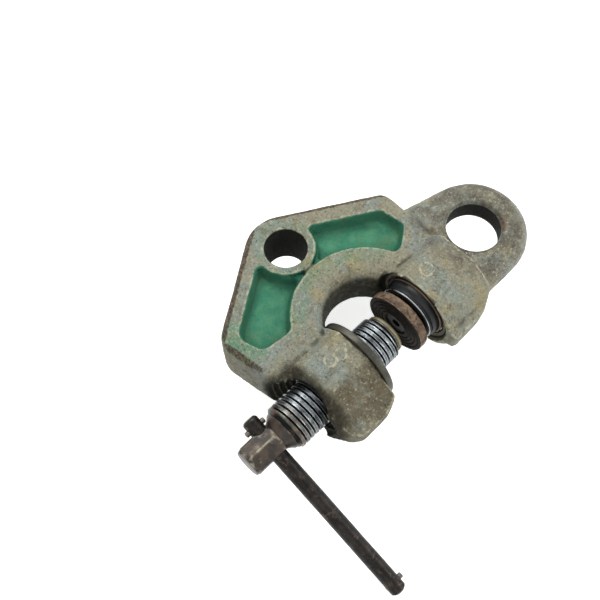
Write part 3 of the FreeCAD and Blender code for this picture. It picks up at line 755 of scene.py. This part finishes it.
# %% Tip, bush and pad
tx0, tx1 = tip_low.x / MM, tip_high.x / MM
tip = turned_piece("swivel_tip", [
    (tx1, 0.0, 0), (tx1, 4.0, 0.4), (tx1 - 0.8, 4.8, 0.4), (tx1 - 0.8, 7.6, 0.4), (tx1, 8.4, 0.5),
    (tx1, 11.7, 0.6), (tx1 - 1.1, 13.1, 0.8), (tx1 - 2.8, 13.1, 0.4), (tx1 - 2.8, 7.0, 0), (tx0, 7.0, 0.8),
    (tx0, 0.0, 0)])
mark_edges(tip)

bx0, bx1 = bush_low.x / MM, bush_high.x / MM
seat = bx1 - 4.5
bush = turned_piece("threaded_bush", [
    (bx1 - 1.5, 15.08, 0.3), (bx1, 16.6, 0.4), (bx1, 27.6, 0.9), (seat, 27.6, 0.5), (seat, 19.0, 0),
    (bx0, 18.95, 0), (bx0 + 0.9, 18.2, 0.3), (bx0 + 1.9, 18.0, 0.3), (bx0 + 2.4, 17.1, 0.3),
    (bx0 + 4.2, 16.9, 0.4), (bx0 + 4.7, 15.7, 0.3), (bx0 + 5.6, 15.08, 0.2)])
mark_edges(bush)

pad_low, pad_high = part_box("swivel_pad")
fx = pad_low.x / MM
rings = []
for k in range(4):
    r = 9.6 + 2.55 * k
    rings += [(fx, r, 0.15), (fx + 1.0, r + 1.0, 0.25), (fx, r + 2.0, 0.15)]
pad = turned_piece("jaw_pad", [
    (fx + 4.9, 5.08, 0), (fx + 4.9, 8.08, 0), (fx, 8.08, 0.3), *rings, (fx, 20.8, 0.3),
    (fx + 0.5, 21.2, 0.4), (fx + 5.8, 21.2, 1.2), (fx + 7.2, 19.8, 1.0), (fx + 7.2, 10.0, 0.5),
    (pad_high.x / MM, 10.0, 0.3), (pad_high.x / MM, 5.08, 0)])
for v in pad.data.vertices:
    if math.hypot(v.co.y - AXIS_Y, v.co.z) > 0.0195:
        v.co -= v.normal * 0.0003 * max(0.0, noise.noise(v.co * 150) + 0.5 * noise.noise(v.co * 420) + 0.2)
mark_edges(pad)
pad_co = read_points(pad.data) / MM
on_face = (pad_co[:, 0] < fx + 1.4) & (np.hypot(pad_co[:, 1] - AXIS_Y / MM, pad_co[:, 2]) < 20.95)
store(pad.data, "face", on_face.astype(float))

# %% [markdown]
# ## Rubber boot and wire rings
# A black rubber boot keeps grit out of the ball joint.  It bulges from the pocket, necks in
# behind its lip, and two wire rings hold it: a browned one on its bead, a bright one in the lip's groove.

# %% Boot and rings
boot_low, boot_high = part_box("dust_boot")
ox, lx = boot_high.x / MM, boot_low.x / MM
boot = turned_piece("rubber_boot", [
    (ox, 17.6, 0.2), (ox, 21.4, 0.3), (ox - 0.9, 21.4, 0.3), (ox - 0.9, 20.4, 0.2), (ox - 2.6, 20.5, 0.8),
    (ox - 4.6, 20.3, 1.4), (ox - 6.4, 19.0, 0.9), (ox - 7.4, 19.4, 0.6), (ox - 8.2, 19.2, 0.3),
    (ox - 8.35, 18.3, 0.1), (ox - 9.25, 18.3, 0.1), (ox - 9.4, 18.6, 0.2), (lx, 18.2, 0.3), (lx, 16.6, 0.5),
    (ox - 5.3, 17.4, 0.5)])

WIRE_R, WIRE_SECTION, RING_COLUMNS = 0.5, 14, 144


def wire_ring(name, px, ring_r):
    """A round wire bent into a ring about the screw axis."""
    bm = bmesh.new()
    outline = [(px + WIRE_R * math.cos(t), ring_r + WIRE_R * math.sin(t))
               for t in (2 * math.pi * k / WIRE_SECTION for k in range(WIRE_SECTION))]
    skin_rows(bm, lathe_rows(outline, RING_COLUMNS), loop=True)
    return finish_mesh(name, bm)


bead_low, bead_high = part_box("boot_bead_ring")
lip_low, lip_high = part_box("boot_garter_ring")
bead_ring = wire_ring("boot_bead_wire", (bead_low.x + bead_high.x) / 2 / MM, ring_r=20.9)
lip_ring = wire_ring("boot_lip_wire", (lip_low.x + lip_high.x) / 2 / MM, ring_r=18.75)

# %% [markdown]
# ## Metal, rubber and grease finishes
# Blackened steel is dark, but its rubbed crests and corners are bare and bluish.  The pad and
# the head have gone brown with rust.  All of them use the edge attribute for wear, and noise of
# a few sizes for stains, so that no surface is one flat colour.  On the thread a thin bright
# line along each crest's edges is a painted highlight, and the head's upward faces are painted
# paler, as painted light from above mixed with wear.

# %% Metal and rubber finishes
def worn_steel(name, dark, light, rub, stain, stain_share, gloss=(0.32, 0.6), metal=0.85,
               speck=0.5, face=None, shine=0.5):
    """Dark steel with stained patches, fine pitting, rubbed edges and a greasy face."""
    f = Finish(name, metallic=metal)
    f.shader.inputs["Specular IOR Level"].default_value = shine
    tone = f.mix(f.patches(0.36, 0.66, 9, 5, 0.65, 0.5), dark, light)
    spots = f.noise(4.0, 6, 0.75, 0.4, 5)
    stained = f.times(f.ramp(spots, 0.62 - 0.3 * stain_share, 0.74 - 0.3 * stain_share), 0.9)
    tone = f.mix(stained, tone, stain)
    pits = f.noise(0.9, 4, 0.7, 0, 9)
    tone = f.mix(f.times(f.ramp(pits, 0.60, 0.72), speck), tone, rub)
    tone = f.mix(f.times(f.ramp(pits, 0.42, 0.28), 0.6), tone, "#15130f")
    worn = f.math("ADD", f.attribute("edge"), f.wobble(0.9, 2.5, 4, 0.7, 0, 13))
    tone = f.mix(f.times(f.ramp(worn, 0.35, 0.8), 0.8), tone, rub)
    if face:
        cover = f.times(f.attribute("face"), f.value(f.patches(0.62, 0.74, 2.5, 5, 0.7, 0, 15), 0.96, 0.6))
        tone = f.mix(cover, tone, face)
    f.bump(spots, 0.10, 0.6)
    f.bump(pits, 0.07, 0.8)
    f.done(tone, f.value(f.noise(3, 4, 0.6, 0, 19), gloss[0], gloss[1]), f.value(stained, metal, metal * 0.3))
    return f.mat


bar_steel = worn_steel("browned_bar_steel", "#191817", "#2b2825", "#6b675e", "#463427", 0.25)
bush_steel = worn_steel("dark_bush_steel", "#363632", "#4c4b42", "#8a877a", "#3c352c", 0.15)
tip_steel = worn_steel("tan_tip_steel", "#6e6850", "#837b60", "#a49c80", "#504936", 0.25,
                       metal=0.45, gloss=(0.4, 0.65))
bead_steel = worn_steel("brown_bead_wire", "#5b4a39", "#75624d", "#98866c", "#41342a", 0.2, metal=0.4)
pad_steel = worn_steel("rusty_pad_steel", "#4a3e34", "#7f6b58", "#b5a18a", "#3a2e25", 0.5,
                       metal=0.1, gloss=(0.5, 0.8), face="#141310", shine=0.12)
ring_steel = worn_steel("bright_wire", "#8d8f90", "#b8bbbd", "#e6e8ea", "#6f655a", 0.05,
                        gloss=(0.2, 0.35), metal=1.0)
black_grease = worn_steel("black_greasy_steel", "#0f0f0d", "#1b1a17", "#34322d", "#171410", 0.1,
                          metal=0.1, speck=0.2, shine=0.15)
inner_steel = worn_steel("greased_inner_steel", "#4b4a47", "#66645f", "#a5a39b", "#40382f", 0.1)

# %% Thread finish
f = Finish("blackened_thread_steel", metallic=0.9)
outboard = f.node("ShaderNodeSeparateXYZ")
f.link(f.where, outboard.inputs[0])
near_head = f.ramp(outboard.outputs["X"], -163.0, -180.0)
tone = f.mix(f.noise(6, 4, 0.6, 0.3), "#0d0f10", "#1b1d1f")
crest_tone = f.mix(f.patches(0.40, 0.60, 4, 5, 0.7, 0.4, 2), "#3a3d3f", "#757b7d")
crest_tone = f.mix(f.times(near_head, 0.8), crest_tone, "#464135")
tone = f.mix(f.attribute("crest"), tone, crest_tone)
# A bright colour along the crest edges is a painted highlight, browner near the head.
bright = f.mix(near_head, "#ccd3d7", "#958c74")
patchy = f.patches(0.36, 0.62, 6, 6, 0.75, 0.3, 3)
tone = f.mix(f.times(f.attribute("crest_highlight"), patchy), tone, bright)
tone = f.mix(f.times(f.patches(0.52, 0.64, 5, 5, 0.7, 0.5, 8), f.times(near_head, 0.8)), tone, "#5d4432")
is_head = f.ramp(outboard.outputs["X"], -178.4, -179.2)
brown = f.mix(f.patches(0.40, 0.64, 7, 5, 0.65, 0.5, 21), "#26221e", "#463a2f")
# The head's edges and upward faces turn paler: wear, with painted light on the upward faces.
head_wear_and_top_light = f.math("ADD", f.times(f.attribute("edge"), 0.5), f.times(f.attribute("top_light_and_wear"), 0.40))
head_wear_and_top_light = f.math("ADD", head_wear_and_top_light, f.wobble(1.8, 7, 6, 0.75, 0.4, 27))
brown = f.mix(f.times(f.ramp(head_wear_and_top_light, 0.40, 0.75), 0.75), brown, "#8c8774")
tone = f.mix(is_head, tone, brown)
f.bump(f.noise(1.2, 4, 0.7), 0.10, 0.7)
f.done(tone, f.value(f.noise(4, 4, 0.6, 0, 33), 0.25, 0.55), f.value(is_head, 0.9, 0.4))
thread_steel = f.mat

# %% Rubber finish
f = Finish("oily_black_rubber", roughness=0.5)
f.shader.inputs["Specular IOR Level"].default_value = 0.3
tone = f.mix(f.patches(0.4, 0.7, 5, 4, 0.6), "#0a0c0e", "#15181a")
tone = f.mix(f.times(f.patches(0.62, 0.76, 2.2, 5, 0.7, 0, 4), 0.3), tone, "#3f3e37")
f.bump(f.noise(1.5, 3), 0.06, 0.5)
f.done(tone, f.value(f.noise(6, 3, 0.5, 0, 7), 0.34, 0.58))
rubber = f.mat

# %% Nylon finish
f = Finish("greased_nylon", roughness=0.45)
tone = f.mix(f.patches(0.4, 0.65, 4, 4), "#d6d0bd", "#b3aa90")
f.bump(f.noise(0.8, 3), 0.03, 0.5)
f.done(tone, f.value(f.noise(3, 3, 0.5, 0, 2), 0.3, 0.6))
nylon = f.mat

# %% [markdown]
# ## Fitting the pieces
# Each new piece goes on the body its CAD node belongs to and stands in for that node.  Parts
# deep inside keep their CAD shape, which is exact, and only get a finish.

# %% Fit the pieces
fit(screw, "screw", "main_screw", thread_steel)
fit(bar, "bar", "tommy_bar", bar_steel)
fit(pins, "bar", "bar_end_pins", bar_steel)
fit(tip, "tip", "screw_tip", tip_steel)
fit(bush, "body", "screw_bush", bush_steel)
fit(pad, "pad", "swivel_pad", pad_steel)
fit(boot, "body", "dust_boot", rubber)
fit(bead_ring, "body", "boot_bead_ring", bead_steel)
fit(lip_ring, "body", "boot_garter_ring", ring_steel)
inner = {"bush_dowels": inner_steel, "thrust_washer": inner_steel, "tip_snap_ring": ring_steel,
         "pad_bolt": black_grease, "pad_ball": inner_steel, "pad_washer": inner_steel,
         "pad_seat": inner_steel, "seat_retainer": inner_steel, "retaining_circlip": ring_steel,
         "ball_liner": nylon}
for name, material in inner.items():
    node = nodes[name]
    node.data.materials.clear()
    node.data.materials.append(material)
    for face in node.data.polygons:
        face.material_index = 0
print("inner parts finished:", len(inner))

# %% [markdown]
# ## Floor, light and camera
# The clamp lies on a pale studio table under broad soft light.  Large area lamps give soft
# edges to every highlight, and a pale world fills the shadows.  Table and sky look whiter to the
# camera and in reflections than the light they shed, so the backdrop is clean and the clamp is
# not washed out.  The camera looks down on the clamp from the handle's side with a normal lens.

# %% Floor
TABLE_GAP, TABLE_GLOW, BACKDROP, MIDDLE_X = 0.0004, 0.68, 0.55, -0.08
low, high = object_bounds()
floor_z = low[2] - TABLE_GAP
bm = bmesh.new()
bmesh.ops.create_grid(bm, x_segments=2, y_segments=2, size=4.0)
floor = finish_mesh("studio_table", bm)
floor.location = (MIDDLE_X, 0.0, floor_z)
table = Finish("pale_table", roughness=0.9)
table.done(table.mix(table.noise(60, 2), "#f4f4f2", "#f8f8f7"))
glow = table.node("ShaderNodeEmission")
glow.inputs["Color"].default_value = (1.0, 1.0, 1.0, 1.0)
path = table.node("ShaderNodeLightPath")
seen = table.math("ADD", path.outputs["Is Camera Ray"], path.outputs["Is Glossy Ray"])
seen = table.math("ADD", seen, path.outputs["Is Transmission Ray"], clamp=True)
table.link(table.times(seen, TABLE_GLOW), glow.inputs["Strength"])
both = table.node("ShaderNodeAddShader")
table.link(table.shader.outputs[0], both.inputs[0])
table.link(glow.outputs[0], both.inputs[1])
table.link(both.outputs[0], table.tree.nodes["Material Output"].inputs["Surface"])
floor.data.materials.append(table.mat)

# %% Light
world = bpy.data.worlds.new("studio")
bpy.context.scene.world = world
world.use_nodes = True
sky = world.node_tree.nodes["Background"]
sky.inputs["Color"].default_value = (1.0, 1.0, 1.0, 1.0)
path = world.node_tree.nodes.new("ShaderNodeLightPath")
backdrop = world.node_tree.nodes.new("ShaderNodeMath")
backdrop.operation, backdrop.use_clamp = "MAXIMUM", True
backdrop.inputs[1].default_value = BACKDROP
world.node_tree.links.new(path.outputs["Is Camera Ray"], backdrop.inputs[0])
for ray in ("Is Glossy Ray", "Is Transmission Ray"):
    wider = world.node_tree.nodes.new("ShaderNodeMath")
    wider.operation = "MAXIMUM"
    world.node_tree.links.new(backdrop.outputs[0], wider.inputs[0])
    world.node_tree.links.new(path.outputs[ray], wider.inputs[1])
    backdrop = wider
world.node_tree.links.new(backdrop.outputs[0], sky.inputs["Strength"])


def soft_lamp(name, spot, aim, size, power):
    data = bpy.data.lights.new(name, "AREA")
    data.shape = "DISK"
    data.size = size
    data.energy = power
    lamp = bpy.data.objects.new(name, data)
    bpy.context.scene.collection.objects.link(lamp)
    lamp.location = spot
    lamp.rotation_euler = (Vector(aim) - Vector(spot)).to_track_quat("-Z", "Y").to_euler()


centre = (MIDDLE_X, 0.0, 0.0)
soft_lamp("key", (0.25, 0.75, 0.95), centre, 0.8, 11.0)
soft_lamp("fill", (-0.9, -0.5, 0.8), centre, 1.0, 3.0)
soft_lamp("side", (0.55, -0.75, 0.55), centre, 0.6, 6.0)

# %% Camera
eye = Vector((-0.28386, -0.13195, 0.50313))
right = Vector((0.7093, -0.7049, -0.0045)).normalized()
back = Vector((-0.3066, -0.3143, 0.8985)).normalized()
right = (right - back * right.dot(back)).normalized()
up = back.cross(right)
camera_data = bpy.data.cameras.new("studio_camera")
camera_data.sensor_width = 36.0
camera_data.lens = 54.1
camera = bpy.data.objects.new("studio_camera", camera_data)
bpy.context.scene.collection.objects.link(camera)
camera.matrix_world = Matrix(((right.x, up.x, back.x, eye.x), (right.y, up.y, back.y, eye.y),
                              (right.z, up.z, back.z, eye.z), (0, 0, 0, 1)))
bpy.context.scene.camera = camera
bpy.context.scene.view_settings.view_transform = "Standard"
